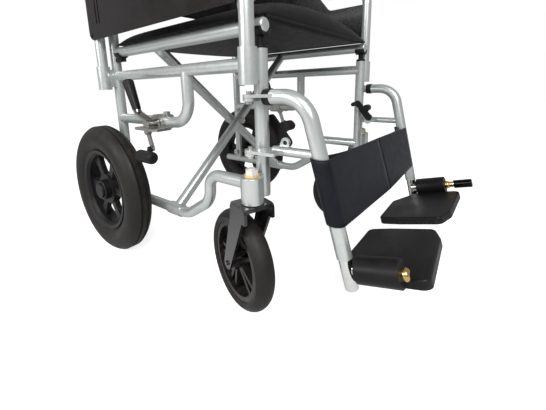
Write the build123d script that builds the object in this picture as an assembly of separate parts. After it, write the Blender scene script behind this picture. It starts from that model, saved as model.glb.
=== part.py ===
"""Transport wheelchair with small rear wheels, a folding cross brace,
lift-off desk armrests and swing-away leg hangers.

Right and left are the sitter's. The chair faces -Y, its left side is +X and
+Z is up. The origin is on the floor, under the middle of the overall box.
Each piece of a side is drawn on the right side (-X) and mirrored for the left.
"""
from build123d import *
from math import cos, radians, sin
import os

# Tubes
TUBE = 22.2            # outside of the frame tube
WALL = 1.5
SLIP = 0.08            # radial clearance of a tube in its socket or sleeve
PIN_FIT = 0.05         # radial clearance of a pin in its hole
SEAT_GAP = 0.3         # gap where loose curved faces rest on one another

# Side frame
HALF_TRACK = 211.0     # side frame plane from the middle of the chair
CANE_Y = 434.0         # back cane behind the front post
POST_BOTTOM = 213.0
POST_TOP = 440.0
SIDE_RAIL_Z = 419.0
BRAKE_RAIL_Z = 319.0
BRAKE_RAIL_Y = 175.0
LOWER_RAIL_Z = 127.0
LOWER_RAIL_END_Y = 489.0
STEP_RAIL_Z = 226.0
TIP_SOCKET = 60.0      # depth of the rear socket, up to its stop
BRAKE_BEND = 45.0
CANE_TOP = 905.0
CANE_BEND = 55.0
HANDLE_REACH = 160.0   # push handle behind the cane
GRIP_LENGTH = 104.0
GRIP_D = 34.0

# Rear wheels
WHEEL_R = 152.5
WHEEL_X = 262.0
TYRE_WIDTH = 56.0
RIM_R = 97.0
SPOKES = 6
AXLE_D = 12.0

# Casters
STEM_X = 240.0
CASTER_R = 89.0
CASTER_WIDTH = 38.0
CASTER_RIM_R = 70.0
TRAIL = 46.0
CASTER_SPOKES = 5
STEM_D = 12.0
BARREL_D = 36.0
BARREL_BOTTOM = 208.0
BARREL_TOP = 251.0
RIGHT_CASTER_TURN = -19.0
LEFT_CASTER_TURN = 44.0

# Seat and cross brace
SEAT_RAIL_Z = 472.0
SEAT_FRONT_Y = -12.0
SEAT_RAIL_LENGTH = 430.0
BRACE_Y = 242.0
BRACE_STEP = 24.0      # second brace behind the first
SLEEVE_LENGTH = 40.0
SLEEVE_WALL = 2.4
SEAT_CROWN_Z = 529.0
SEAT_UNDER_Z = 458.0

# Armrests
ARM_X = 240.5
SOCKET_D = 28.4
SOCKET_BOTTOM = 388.0
REAR_ARM_Y = 440.0
ARM_Z = 700.0
ARM_STEP_Z = 622.0
ARM_STEP_Y = 150.0
ARM_BEND = 38.0
PAD_LENGTH = 250.0
PAD_WIDTH = 54.0
PAD_THICK = 27.0
GUARD_THICK = 3.0
GUARD_BOTTOM = 498.0

# Leg hangers
PIN_D = 8.0
UPPER_PIN_Z = 372.0
LOWER_PIN_Z = 291.0
HINGE_PLATE = 4.6
HANGER_X = 222.0
HANGER_TOP_Z = 370.0
HANGER_CORNER_Y = -82.0
HANGER_BEND = 44.0
HANGER_FOOT = (205.0, -147.0, 106.0)
HANGER_END_Z = 148.0
DROP_D = 19.0
FOOT_TILT = 16.0
FOOT_AXIS = (203.0, -141.0, 130.0)
FOOT_BARREL_D = 38.0
FOOT_BARREL_LENGTH = 58.0
FOOT_THICK = 14.0
FOOT_DROP = 11.6       # plate top under the flip axis
FOOT_INNER_X = 26.0

# Brakes
BRAKE_X = 243.0
BRAKE_PLATE_Z = 308.5
LEVER_Y = 257.0
LEVER_Z = 320.0
LINK_Y = 273.0
LINK_Z = 300.0
LINK_LOW = (261.0, 266.0)
SHOE_D = 25.0
SHOE_LENGTH = 54.0
SHOE_X = 262.0
SHOE_Z = 253.0

# Upholstery
BACK_BOTTOM = 588.0
BACK_TOP = 842.0
BACK_BOW = 34.0
STRAP_TOP = 285.0
STRAP_BOTTOM = 190.0

R = TUBE / 2
BORE = R - WALL
PIN_R = PIN_D / 2
HANDLE_END = CANE_Y + HANDLE_REACH
STUB_REACH = 122.0     # left footplate shaft, past the flip axis point
FRONT_END = FOOT_AXIS[1] - STUB_REACH * cos(radians(FOOT_TILT)) - 2
MIDDLE_Y = (HANDLE_END + FRONT_END) / 2
PIVOT_Z = (LOWER_RAIL_Z + SEAT_RAIL_Z) / 2


# Shared shapes
def rod(start, end, radius):
    """Round bar between two points."""
    path = Line(start, end)
    return sweep(Plane(origin=start, z_dir=path % 0) * Circle(radius), path=path)


def bent_rod(points, bends, radius):
    """Round bar along straight runs joined by arcs."""
    path = FilletPolyline(*points, radius=bends)
    return sweep(Plane(origin=path @ 0, z_dir=path % 0) * Circle(radius), path=path)


def tube(start, end, radius=R, bore=BORE):
    """Straight tube."""
    return rod(start, end, radius) - rod(start, end, bore)


def bent_tube(points, bends, radius=R, bore=BORE):
    """Tube along straight runs joined by arcs."""
    return bent_rod(points, bends, radius) - bent_rod(points, bends, bore)


def block(x0, x1, y0, y1, z0, z1):
    """Box between two corners."""
    size = (abs(x1 - x0), abs(y1 - y0), abs(z1 - z0))
    return Pos((x0 + x1) / 2, (y0 + y1) / 2, (z0 + z1) / 2) * Box(*size)


def bar(first, second, r1, r2):
    """Outline of a link with two round ends, in the working plane."""
    ends = Pos(*first) * Circle(r1) + Pos(*second) * Circle(r2)
    return make_hull(ends.edges())


def across(x):
    """Plane whose first axis is +Y, second +Z and normal +X, at a given x."""
    return Plane(origin=(x, 0, 0), x_dir=(0, 1, 0), z_dir=(1, 0, 0))


def facing(centre, offset):
    """Plane through a wheel's centre line, moved along +X by an offset."""
    centre = Vector(*centre)
    return Plane(origin=centre + (offset, 0, 0), x_dir=(0, 1, 0), z_dir=(1, 0, 0))


def level(z):
    return Plane(origin=(0, 0, z))


def slab(outline, plane, thick):
    """Outline drawn on a plane and thickened along its normal."""
    return extrude(plane * outline, amount=thick)


def turned(profile, centre, axis):
    """Profile drawn as (radius, along) and revolved about an axis."""
    side = Vector(0, 0, 1) if abs(Vector(*axis).Z) < 0.9 else Vector(1, 0, 0)
    radial = side - Vector(*axis) * side.dot(Vector(*axis))
    normal = radial.cross(Vector(*axis))
    plane = Plane(origin=centre, x_dir=radial, z_dir=normal)
    return revolve(plane * profile, axis=Axis(centre, axis))


def ring(centre, axis, outer, bore, length):
    """Washer or sleeve that starts at a point and runs along an axis."""
    outline = Pos((outer + bore) / 2, length / 2) * Rectangle(outer - bore, length)
    return turned(outline, centre, axis)


# Side frame
def front_post():
    """Post with the caster barrel beside it and two hinge lugs."""
    x = -HALF_TRACK
    post = rod((x, 0, POST_BOTTOM), (x, 0, POST_TOP), R)
    barrel = rod((-STEM_X, 0, BARREL_BOTTOM), (-STEM_X, 0, BARREL_TOP), BARREL_D / 2)
    frame = fillet(barrel.edges(), 1.5) + post + barrel_web()
    for pin_z in (UPPER_PIN_Z, LOWER_PIN_Z):
        lug = slab(bar((-STEM_X, 0), (x, 0), 9.5, 9.5), level(lug_bottom(pin_z)), HINGE_PLATE)
        hole = rod((-STEM_X, 0, pin_z - 30), (-STEM_X, 0, pin_z + 30), PIN_R + PIN_FIT)
        frame += lug - hole
    hollow = rod((x, 0, POST_BOTTOM + WALL), (x, 0, POST_TOP), BORE)
    stem_hole = rod((-STEM_X, 0, 0), (-STEM_X, 0, POST_TOP), STEM_D / 2 + PIN_FIT)
    low_hole = stem_hole & block(-300, -200, -40, 40, 190, 270)
    return frame - hollow - low_hole


def lug_bottom(pin_z):
    """Fixed lug lies under the hanger's plate, with a small gap."""
    return pin_z - HINGE_PLATE * 1.5 - SEAT_GAP


def post_solid():
    return rod((-HALF_TRACK, 0, POST_BOTTOM), (-HALF_TRACK, 0, POST_TOP), R)


def barrel_web():
    return block(-STEM_X, -HALF_TRACK, -6, 6, POST_BOTTOM + 2, BARREL_TOP - 4)


def cane_solid():
    return rod((-HALF_TRACK, CANE_Y, LOWER_RAIL_Z), (-HALF_TRACK, CANE_Y, CANE_TOP), R)


def back_cane():
    """Cane from the lower rail up, bent into the push handle."""
    x = -HALF_TRACK
    route = [(x, CANE_Y, LOWER_RAIL_Z), (x, CANE_Y, CANE_TOP), (x, HANDLE_END - 4, CANE_TOP)]
    cane = bent_tube(route, CANE_BEND)
    rail = rod((x, CANE_Y - 60, LOWER_RAIL_Z), (x, LOWER_RAIL_END_Y, LOWER_RAIL_Z), R)
    axle = rod((x - 30, CANE_Y, WHEEL_R), (x + 30, CANE_Y, WHEEL_R), AXLE_D / 2 + PIN_FIT)
    return cane - rail - axle


def side_rail():
    """Rail under the seat rail, coped to the post and the cane."""
    x = -HALF_TRACK
    rail = tube((x, 0, SIDE_RAIL_Z), (x, CANE_Y, SIDE_RAIL_Z))
    return rail - post_solid() - cane_solid()


def brake_rail():
    """Bent rail that carries the brake clamp."""
    x = -HALF_TRACK
    route = [(x, BRAKE_RAIL_Y, SIDE_RAIL_Z), (x, BRAKE_RAIL_Y, BRAKE_RAIL_Z),
             (x, CANE_Y, BRAKE_RAIL_Z)]
    upper = rod((x, 100, SIDE_RAIL_Z), (x, 250, SIDE_RAIL_Z), R)
    return bent_tube(route, BRAKE_BEND) - upper - cane_solid()


def lower_rail():
    """Rail stepped up to the front post, with an open socket at its rear end."""
    x = -HALF_TRACK
    route = [(x, LOWER_RAIL_END_Y, LOWER_RAIL_Z), (x, 200, LOWER_RAIL_Z), (x, 130, 172),
             (x, 127, STEP_RAIL_Z), (x, 0, STEP_RAIL_Z)]
    rail = bent_tube(route, [60, 42, 26]) - post_solid() - barrel_web()
    stop = LOWER_RAIL_END_Y - TIP_SOCKET
    return rail + rod((x, stop - 3, LOWER_RAIL_Z), (x, stop, LOWER_RAIL_Z), BORE)


def arm_sockets():
    """Two cups beside the frame that take the armrest posts."""
    sockets = []
    for y, mate_y, mate in ((0, 0, post_solid()), (REAR_ARM_Y, CANE_Y, cane_solid())):
        cup = rod((-ARM_X, y, SOCKET_BOTTOM), (-ARM_X, y, POST_TOP), SOCKET_D / 2)
        web = block(-ARM_X, -HALF_TRACK, mate_y - 5, mate_y + 5, SOCKET_BOTTOM + 6, POST_TOP - 6)
        bore = rod((-ARM_X, y, SOCKET_BOTTOM + 2), (-ARM_X, y, POST_TOP), R + SLIP)
        rail = rod((-HALF_TRACK, 0, SIDE_RAIL_Z), (-HALF_TRACK, CANE_Y, SIDE_RAIL_Z), R)
        sockets.append(cup + web - bore - mate - rail)
    return Compound(sockets)


def seat_saddles():
    """Cradles that take the seat rail when the chair is open."""
    x = -HALF_TRACK
    rail_room = rod((x, -60, SEAT_RAIL_Z), (x, CANE_Y, SEAT_RAIL_Z), R + SEAT_GAP)
    front = rod((x, -11, SEAT_RAIL_Z), (x, 11, SEAT_RAIL_Z), R + 4.5)
    front = front & block(x - 30, x + 30, -30, 30, SEAT_RAIL_Z - 30, SEAT_RAIL_Z - 3)
    front += rod((x, 0, POST_TOP), (x, 0, SEAT_RAIL_Z - R), 6)
    front += rod((x, 0, POST_TOP), (x, 0, POST_TOP + 5), R - 0.6)
    front += rod((x, 0, POST_TOP - 14), (x, 0, POST_TOP), BORE - PIN_FIT)
    rear_y = CANE_Y - R
    rear = rod((x, rear_y - 26, SEAT_RAIL_Z), (x, rear_y - 10, SEAT_RAIL_Z), R + 4)
    rear = rear & block(x - 30, x + 30, 0, rear_y, SEAT_RAIL_Z - 30, SEAT_RAIL_Z - 3)
    rear += block(x - 6, x + 6, rear_y - 26, CANE_Y - R / 2, SEAT_RAIL_Z - R - 10, SEAT_RAIL_Z - R - 3)
    rear = rear - cane_solid()
    return Compound([front - rail_room, rear - rail_room])


def steel_pins():
    """Rear axle with its spacer and nut, and the two hanger pins."""
    x = -HALF_TRACK
    axle = rod((x + R + 8, CANE_Y, WHEEL_R), (-WHEEL_X - 24, CANE_Y, WHEEL_R), AXLE_D / 2)
    nut = Pos(x + R, CANE_Y, WHEEL_R) * Rot(0, 90, 0) * extrude(RegularPolygon(10, 6), 7)
    spacer = rod((x - R, CANE_Y, WHEEL_R), (-hub_inner() + SEAT_GAP, CANE_Y, WHEEL_R), 9.5)
    cane_room = cane_solid()
    pieces = [axle + (nut + spacer - cane_room)]
    for pin_z in (UPPER_PIN_Z, LOWER_PIN_Z):
        shank = rod((-STEM_X, 0, lug_bottom(pin_z) - 2), (-STEM_X, 0, pin_z + 7), PIN_R)
        head = rod((-STEM_X, 0, lug_bottom(pin_z) - 4), (-STEM_X, 0, lug_bottom(pin_z)), 6.5)
        pieces.append(shank + head)
    return Compound(pieces)


def push_grip():
    """Moulded grip with finger ridges and a closed, rounded end."""
    start = (-HALF_TRACK, HANDLE_END - GRIP_LENGTH, CANE_TOP)
    outer = GRIP_D / 2
    hollow = R + PIN_FIT
    with BuildSketch() as section:
        with BuildLine():
            Polyline((hollow, 0), (outer + 2, 0), (outer + 2, 6), (outer - 2, 10))
            Line((outer - 2, 10), (outer - 2, 12))
            ridges = 5
            pitch = (GRIP_LENGTH - 26) / ridges
            for step in range(ridges):
                low = 12 + step * pitch
                ThreePointArc((outer - 2, low), (outer, low + pitch / 2), (outer - 2, low + pitch))
            Line((outer - 2, GRIP_LENGTH - 14), (outer - 2, GRIP_LENGTH - 6))
            ThreePointArc((outer - 2, GRIP_LENGTH - 6), (outer - 4, GRIP_LENGTH - 1.5),
                          (outer - 9, GRIP_LENGTH))
            Polyline((outer - 9, GRIP_LENGTH), (0, GRIP_LENGTH), (0, GRIP_LENGTH - 4 + PIN_FIT),
                     (hollow, GRIP_LENGTH - 4 + PIN_FIT), (hollow, 0))
        make_face()
    return turned(section.sketch, start, (0, 1, 0))


# Brakes
def brake_bracket():
    """Clamp round the brake rail, with a plate, pivot ears and a bolt."""
    x = -HALF_TRACK
    clamp = block(x - 17, x + 15, 244, 280, BRAKE_RAIL_Z - 15, BRAKE_RAIL_Z + 15)
    clamp = fillet(clamp.edges().filter_by(Axis.Y), 8)
    rail = rod((x, 200, BRAKE_RAIL_Z), (x, 320, BRAKE_RAIL_Z), R)
    plate = block(x - 14, -SHOE_X, 214, 293, BRAKE_PLATE_Z - 2.5, BRAKE_PLATE_Z + 2.5)
    plate = fillet(plate.edges().filter_by(Axis.Z), 5)
    bracket = clamp + plate - rail
    for inner, thick in ((-BRAKE_X + 10.5, 3.5), (-BRAKE_X - 14, 3.5)):
        ear = bar((LEVER_Y, BRAKE_PLATE_Z), (LEVER_Y, LEVER_Z), 8, 7)
        bracket += slab(ear, across(inner), thick)
    for inner, thick in ((-BRAKE_X + 2.5, 3), (-BRAKE_X - 5.5, 3)):
        ear = bar((LINK_Y, BRAKE_PLATE_Z), (LINK_Y, LINK_Z), 6.5, 6)
        bracket += slab(ear, across(inner), thick)
    pin = rod((-BRAKE_X + 14, LEVER_Y, LEVER_Z), (-BRAKE_X - 14, LEVER_Y, LEVER_Z), PIN_R)
    low_pin = rod((-BRAKE_X + 5.5, LINK_Y, LINK_Z), (-BRAKE_X - 5.5, LINK_Y, LINK_Z), 3)
    bolt = rod((x, 248, BRAKE_RAIL_Z + R), (x, 248, BRAKE_RAIL_Z + 19), 6)
    head = Pos(x, 248, BRAKE_RAIL_Z + 15) * extrude(RegularPolygon(7.5, 6), 6)
    return bracket + pin + low_pin + (bolt + head - rail)


def brake_lever():
    """Cranked lever: an eye on its pin, a flat arm and the handle rod."""
    x = -BRAKE_X
    pin_room = rod((x - 20, LEVER_Y, LEVER_Z), (x + 20, LEVER_Y, LEVER_Z), PIN_R + PIN_FIT)
    eye = rod((x - 10, LEVER_Y, LEVER_Z), (x + 10, LEVER_Y, LEVER_Z), 7)
    arm = Polyline((LEVER_Y, LEVER_Z), (LEVER_Y + 46, LEVER_Z + 19), (LEVER_Y + 52, LEVER_Z + 27))
    strip = slab(trace(arm, 5), across(x - 8), 16)
    handle = rod((x, LEVER_Y + 46, LEVER_Z + 16), (x, LEVER_Y + 68, LEVER_Z + 70), 4.5)
    return eye + strip + handle - pin_room


def grip_axis():
    return (-BRAKE_X, LEVER_Y + 50, LEVER_Z + 26), (-BRAKE_X, LEVER_Y + 75, LEVER_Z + 87)


def brake_grip():
    """Flattened black grip on the lever's rod."""
    start, end = grip_axis()
    path = Line(start, end)
    low = Plane(origin=start, x_dir=(1, 0, 0), z_dir=path % 0)
    high = Plane(origin=end, x_dir=(1, 0, 0), z_dir=path % 0)
    grip = loft([low * Ellipse(9, 8), high * Ellipse(12, 11)])
    grip = fillet(grip.faces().sort_by(Axis.Z)[-1].edges(), 6)
    return grip - brake_lever()


def brake_link():
    """Short link from the bracket down to the shoe."""
    x = -BRAKE_X
    outline = bar((LINK_Y, LINK_Z), LINK_LOW, 5.5, 5.5)
    link = slab(outline, across(x - 2), 4)
    room = rod((x - 9, LINK_Y, LINK_Z), (x + 9, LINK_Y, LINK_Z), 3 + PIN_FIT)
    stud = rod((x, *LINK_LOW), (x - 9, *LINK_LOW), 3)
    return link - room + stud


def brake_shoe():
    """Rubber-tipped shoe that the link pushes against the tyre."""
    start = LINK_LOW[0] - 32
    body = rod((-SHOE_X, start, SHOE_Z), (-SHOE_X, start + SHOE_LENGTH, SHOE_Z), SHOE_D / 2)
    body = fillet(body.faces().sort_by(Axis.Y)[0].edges(), 8)
    body = chamfer(body.faces().sort_by(Axis.Y)[-1].edges(), 4)
    ear = slab(bar(LINK_LOW, (LINK_LOW[0], SHOE_Z), 6, 9), across(-BRAKE_X - 9.5), 5.5 - 1.5)
    room = rod((-BRAKE_X, *LINK_LOW), (-BRAKE_X - 9.6, *LINK_LOW), 3 + PIN_FIT)
    return body + ear - room


# Wheels
def hub_inner():
    return WHEEL_X - 25


def wheel_centre():
    return (-WHEEL_X, CANE_Y, WHEEL_R)


def rear_tyre():
    """Fat tyre with a flat-topped tread and two grooves."""
    half = TYRE_WIDTH / 2
    with BuildSketch() as section:
        with BuildLine():
            Line((RIM_R, -17), (RIM_R + 8, -half + 5))
            ThreePointArc((RIM_R + 8, -half + 5), (RIM_R + 24, -half), (WHEEL_R - 14, -half + 4))
            ThreePointArc((WHEEL_R - 14, -half + 4), (WHEEL_R - 4, -half + 12), (WHEEL_R, -10))
            for side in (-7, 7):
                if side > 0:
                    Line((WHEEL_R, -4), (WHEEL_R, 4))
                Polyline((WHEEL_R, side - 3), (WHEEL_R - 3, side - 1.5), (WHEEL_R - 3, side + 1.5),
                         (WHEEL_R, side + 3))
            ThreePointArc((WHEEL_R, 10), (WHEEL_R - 4, half - 12), (WHEEL_R - 14, half - 4))
            ThreePointArc((WHEEL_R - 14, half - 4), (RIM_R + 24, half), (RIM_R + 8, half - 5))
            Polyline((RIM_R + 8, half - 5), (RIM_R, 17), (RIM_R, -17))
        make_face()
    return turned(section.sketch, wheel_centre(), (1, 0, 0))


def rear_wheel():
    """Moulded rim, six dished spokes and a hub, with a separate hub cap."""
    centre = Vector(*wheel_centre())
    with BuildSketch() as section:
        with BuildLine():
            Polyline((RIM_R - 14, -13), (RIM_R - 9, -19), (RIM_R - 0.2, -21), (RIM_R - 0.2, 21),
                     (RIM_R - 9, 19), (RIM_R - 14, 13), (RIM_R - 14, -13))
        make_face()
    rim = turned(section.sketch, centre, (1, 0, 0))
    hub = rod(centre - (24, 0, 0), centre + (25, 0, 0), 24)
    hub = chamfer(hub.edges(), 2)
    flange = rod(centre - (10, 0, 0), centre + (8, 0, 0), 36)
    with BuildSketch() as blade:
        with BuildLine():
            Line((18, -15), (18, 15))
            ThreePointArc((18, 15), (50, 8), (RIM_R - 12, 15))
            Line((RIM_R - 12, 15), (RIM_R - 12, -15))
            ThreePointArc((RIM_R - 12, -15), (50, -8), (18, -15))
        make_face()
    wheel = rim + hub + flange
    for step in range(SPOKES):
        turn = Rot(0, 0, 360 / SPOKES * step)
        wheel += slab(turn * blade.sketch, facing(centre, -7), 12)
    wheel -= rod(centre - (24, 0, 0), centre + (30, 0, 0), AXLE_D / 2 + PIN_FIT)
    cap = rod(centre - (28.5, 0, 0), centre - (24.2, 0, 0), 19)
    cap = fillet(cap.faces().sort_by(Axis.X)[0].edges(), 3)
    return Compound([wheel, cap])


# Casters, drawn with the wheel straight behind the stem
def caster_fork():
    """Crown, two curved blades, the stem with its nut, and the axle bolt."""
    inner = CASTER_WIDTH / 2 + 3.5
    crown_top = BARREL_BOTTOM - SEAT_GAP
    blade = bar((6, crown_top - 18), (TRAIL, CASTER_R), 18, 11)
    blade += Pos(3, crown_top - 12) * Rectangle(46, 24)
    blade = fillet(blade.vertices().group_by(Axis.Y)[-1], 8)
    fork = slab(blade, across(-STEM_X - inner - 5), 5) + slab(blade, across(-STEM_X + inner), 5)
    crown = slab(Pos(-STEM_X, 4) * RectangleRounded(2 * inner + 10, 46, 6), level(crown_top - 7), 7)
    fork += crown
    stem = rod((-STEM_X, 0, crown_top - 4), (-STEM_X, 0, BARREL_TOP + 13), STEM_D / 2)
    washer = rod((-STEM_X, 0, BARREL_TOP + SEAT_GAP), (-STEM_X, 0, BARREL_TOP + 3), 12)
    nut = Pos(-STEM_X, 0, BARREL_TOP + 3) * extrude(RegularPolygon(10.5, 6), 8)
    bolt = rod((-STEM_X - inner - 8, TRAIL, CASTER_R), (-STEM_X + inner + 8, TRAIL, CASTER_R), 4)
    return fork + stem + washer + nut + bolt


def caster_centre():
    return (-STEM_X, TRAIL, CASTER_R)


def caster_wheel():
    """Moulded caster rim with paired spokes and a wide hub."""
    centre = Vector(*caster_centre())
    rim = ring(centre - (14, 0, 0), (1, 0, 0), CASTER_RIM_R - 0.2, CASTER_RIM_R - 9, 28)
    hub = rod(centre - (20, 0, 0), centre + (20, 0, 0), 15)
    wheel = rim + hub
    for step in range(CASTER_SPOKES):
        for lean in (-9, 9):
            blade = Pos((CASTER_RIM_R + 4) / 2, 0) * Rectangle(CASTER_RIM_R - 16, 6)
            turn = Rot(0, 0, 360 / CASTER_SPOKES * step + lean)
            wheel += slab(turn * blade, facing(centre, -9), 18)
    return wheel - rod(centre - (24, 0, 0), centre + (24, 0, 0), 4 + PIN_FIT)


def caster_tyre():
    """Solid tyre with a rounded tread."""
    half = CASTER_WIDTH / 2
    with BuildSketch() as section:
        with BuildLine():
            Polyline((CASTER_RIM_R, -half + 4), (CASTER_R - 12, -half + 1))
            ThreePointArc((CASTER_R - 12, -half + 1), (CASTER_R, 0), (CASTER_R - 12, half - 1))
            Polyline((CASTER_R - 12, half - 1), (CASTER_RIM_R, half - 4), (CASTER_RIM_R, -half + 4))
        make_face()
    return turned(section.sketch, caster_centre(), (1, 0, 0))


# Leg hangers
def hanger_point(z):
    """Point on the raked hanger tube at a given height."""
    foot = Vector(*HANGER_FOOT)
    share = (HANGER_TOP_Z - z) / (HANGER_TOP_Z - foot.Z)
    x = HANGER_X + (foot.X - HANGER_X) * share
    y = HANGER_CORNER_Y + (foot.Y - HANGER_CORNER_Y) * share
    return (-x, y, z)


def hanger():
    """Bent hanger tube with a plug, two hinge plates and the latch bracket."""
    rear = (-HANGER_X, -R - 4, HANGER_TOP_Z)
    corner = (-HANGER_X, HANGER_CORNER_Y, HANGER_TOP_Z)
    frame = bent_rod([rear, corner, hanger_point(HANGER_END_Z)], HANGER_BEND, R)
    upper = bar((-STEM_X, 0), (-HANGER_X, -36), 9.5, 9.5)
    frame += slab(upper, level(UPPER_PIN_Z - HINGE_PLATE / 2), HINGE_PLATE)
    low_z = LOWER_PIN_Z - HINGE_PLATE / 2
    lower = bar((-STEM_X, 0), (-STEM_X, -36), 9.5, 9.5)
    lower += Pos(-HANGER_X, -32) * RectangleRounded(54, 30, 5)
    frame += slab(lower, level(low_z), HINGE_PLATE)
    meet = Vector(*hanger_point(LOWER_PIN_Z))
    frame += rod((-HANGER_X + 3, -28, LOWER_PIN_Z), meet, 7)
    frame += slab(bar((-33, LOWER_PIN_Z + 8), (-30, LOWER_PIN_Z - 1), 8, 8), across(-latch_x() - 4), 3.6)
    hollow = bent_rod([rear, corner, hanger_point(HANGER_END_Z)], HANGER_BEND, BORE)
    for pin_z in (UPPER_PIN_Z, LOWER_PIN_Z):
        frame -= rod((-STEM_X, 0, pin_z - 9), (-STEM_X, 0, pin_z + 9), PIN_R + PIN_FIT)
    latch_hole = (-latch_x(), -33, LOWER_PIN_Z + 8)
    frame -= rod(latch_hole, (-latch_x() - 9, *latch_hole[1:]), 3.5 + PIN_FIT)
    plug = rod((-HANGER_X, -R - 10, HANGER_TOP_Z), (-HANGER_X, -R - 2, HANGER_TOP_Z), BORE)
    return frame - hollow + plug


def latch_x():
    """The latch swings beside the front post, on its inner side."""
    return HALF_TRACK - R - 7


def latch():
    """Latch lever on a pin, with a thumb knob."""
    x = -latch_x()
    lever = slab(bar((-33, LOWER_PIN_Z + 8), (-4, LOWER_PIN_Z + 44), 8, 6.5), across(x), 5)
    hook = slab(bar((-4, LOWER_PIN_Z + 44), (8, LOWER_PIN_Z + 40), 6.5, 5), across(x), 5)
    knob = rod((x + 2, -30, LOWER_PIN_Z + 33), (x + 18, -30, LOWER_PIN_Z + 33), 8)
    arm = slab(bar((-20, LOWER_PIN_Z + 24), (-30, LOWER_PIN_Z + 33), 7, 8), across(x), 5)
    pin = rod((x - 4.2, -33, LOWER_PIN_Z + 8), (x + 7, -33, LOWER_PIN_Z + 8), 3.5)
    return lever + hook + arm + fillet(knob.edges(), 2) + pin


def foot_point(along, x=FOOT_AXIS[0]):
    """Point on the flip axis of the footplate, right side."""
    tilt = radians(FOOT_TILT)
    y = FOOT_AXIS[1] - along * cos(tilt)
    return (-x, y, FOOT_AXIS[2] + along * sin(tilt))


def barrel_start():
    return DROP_D / 2 + 4


def drop_tube(long_stub):
    """Chrome tube that slides up the hanger, with the footplate's shaft."""
    low = 102
    leg = rod(hanger_point(HANGER_END_Z + 50), hanger_point(low), DROP_D / 2)
    leg = fillet(leg.faces().sort_by(Axis.Z)[0].edges(), 2)
    end = barrel_start() + FOOT_BARREL_LENGTH
    shaft = rod(foot_point(0), foot_point(end + 5), 7)
    collar = rod(foot_point(DROP_D / 2 - 3), foot_point(barrel_start() - SEAT_GAP), 9)
    dome = rod(foot_point(end + SEAT_GAP), foot_point(end + 9), 8.5)
    dome = fillet(dome.faces().sort_by(Axis.Y)[0].edges(), 5)
    leg += shaft + collar + dome
    if long_stub:
        leg += rod(foot_point(end + 6), foot_point(end + 17), 6.5)
        stub = rod(foot_point(end + 17), foot_point(STUB_REACH), 9)
        leg += fillet(stub.faces().sort_by(Axis.Y)[0].edges(), 2)
    return leg


def foot_plane(drop):
    """Working plane of the footplate: +X, then forward along the flip axis."""
    tilt = radians(FOOT_TILT)
    normal = Vector(0, sin(tilt), cos(tilt))
    origin = Vector(0, FOOT_AXIS[1], FOOT_AXIS[2]) - normal * drop
    return Plane(origin=origin, x_dir=(1, 0, 0), z_dir=normal)


def footplate():
    """Moulded plate with a rolled rim, ribs underneath and the hinge barrel."""
    outer = FOOT_AXIS[0] - 11
    corners = [(-outer, 98), (-outer, 8), (-138, -31), (-30, -31), (-FOOT_INNER_X, 8),
               (-FOOT_INNER_X, 80), (-62, 93)]
    plane = foot_plane(FOOT_DROP)
    outline = make_face(Polyline(*[(x, -v) for x, v in corners], close=True))
    outline = fillet(outline.vertices(), 12)
    plate = extrude(plane * outline, amount=-FOOT_THICK)
    upward = Axis((0, 0, 0), plane.z_dir)
    plate = fillet(plate.faces().sort_by(upward)[-1].edges(), 3.5)
    recess = offset(outline, -9)
    under = foot_plane(FOOT_DROP + FOOT_THICK)
    plate -= extrude(under * recess, amount=FOOT_THICK - 6)
    for x in range(-165, -40, 32):
        rib = Pos(x, -30) * Rectangle(3, 108)
        plate += extrude(under * rib, amount=FOOT_THICK - 5)
    start = barrel_start()
    end = start + FOOT_BARREL_LENGTH
    barrel = rod(foot_point(start), foot_point(end), FOOT_BARREL_D / 2)
    barrel = fillet(barrel.edges().filter_by(GeomType.CIRCLE), 1.5)
    shaft_room = rod(foot_point(0), foot_point(end + 12), 7 + PIN_FIT)
    clear = rod(foot_point(-12), foot_point(start - SEAT_GAP * 2), FOOT_BARREL_D / 2 + 2)
    front_clear = rod(foot_point(end + 0.01), foot_point(end + 26), 11)
    return plate - clear - front_clear + barrel - shaft_room


def calf_strap():
    """Half of the strap: a sleeve on the hanger tube and a flat band."""
    high = Vector(*hanger_point(STRAP_TOP))
    low = Vector(*hanger_point(STRAP_BOTTOM))
    sleeve = rod(high, low, R + 3)
    front = Vector(0, -R - 1.4, 0)
    inner_high = Vector(-1, high.Y, high.Z)
    inner_low = Vector(-1, low.Y, low.Z)
    corners = [high + front, low + front, inner_low + front, inner_high + front]
    band = Solid.extrude(Face(Wire.make_polygon(corners)), Vector(0, 2.8, 0))
    return sleeve + band - rod(hanger_point(STRAP_TOP + 20), hanger_point(STRAP_BOTTOM - 20), R + SEAT_GAP)


# Armrests
def arm_frame():
    """Bent tube: front post, low step, raised rest and rear post."""
    foot = SOCKET_BOTTOM + 2 + SEAT_GAP
    x = -ARM_X
    route = [(x, 0, foot), (x, 0, ARM_STEP_Z), (x, ARM_STEP_Y - 35, ARM_STEP_Z),
             (x, ARM_STEP_Y, ARM_Z), (x, REAR_ARM_Y, ARM_Z), (x, REAR_ARM_Y, foot)]
    return bent_tube(route, [ARM_BEND, 30, 30, ARM_BEND])


def arm_pad():
    """Padded armrest on the raised part of the tube."""
    low = ARM_Z + R + SEAT_GAP / 2
    start = ARM_STEP_Y + 12
    pad = block(-ARM_X - PAD_WIDTH / 2, -ARM_X + PAD_WIDTH / 2, start, start + PAD_LENGTH,
                low, low + PAD_THICK)
    pad = fillet(pad.edges().filter_by(Axis.Z), 16)
    return fillet(pad.faces().sort_by(Axis.Z)[-1].edges(), 9)


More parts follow.
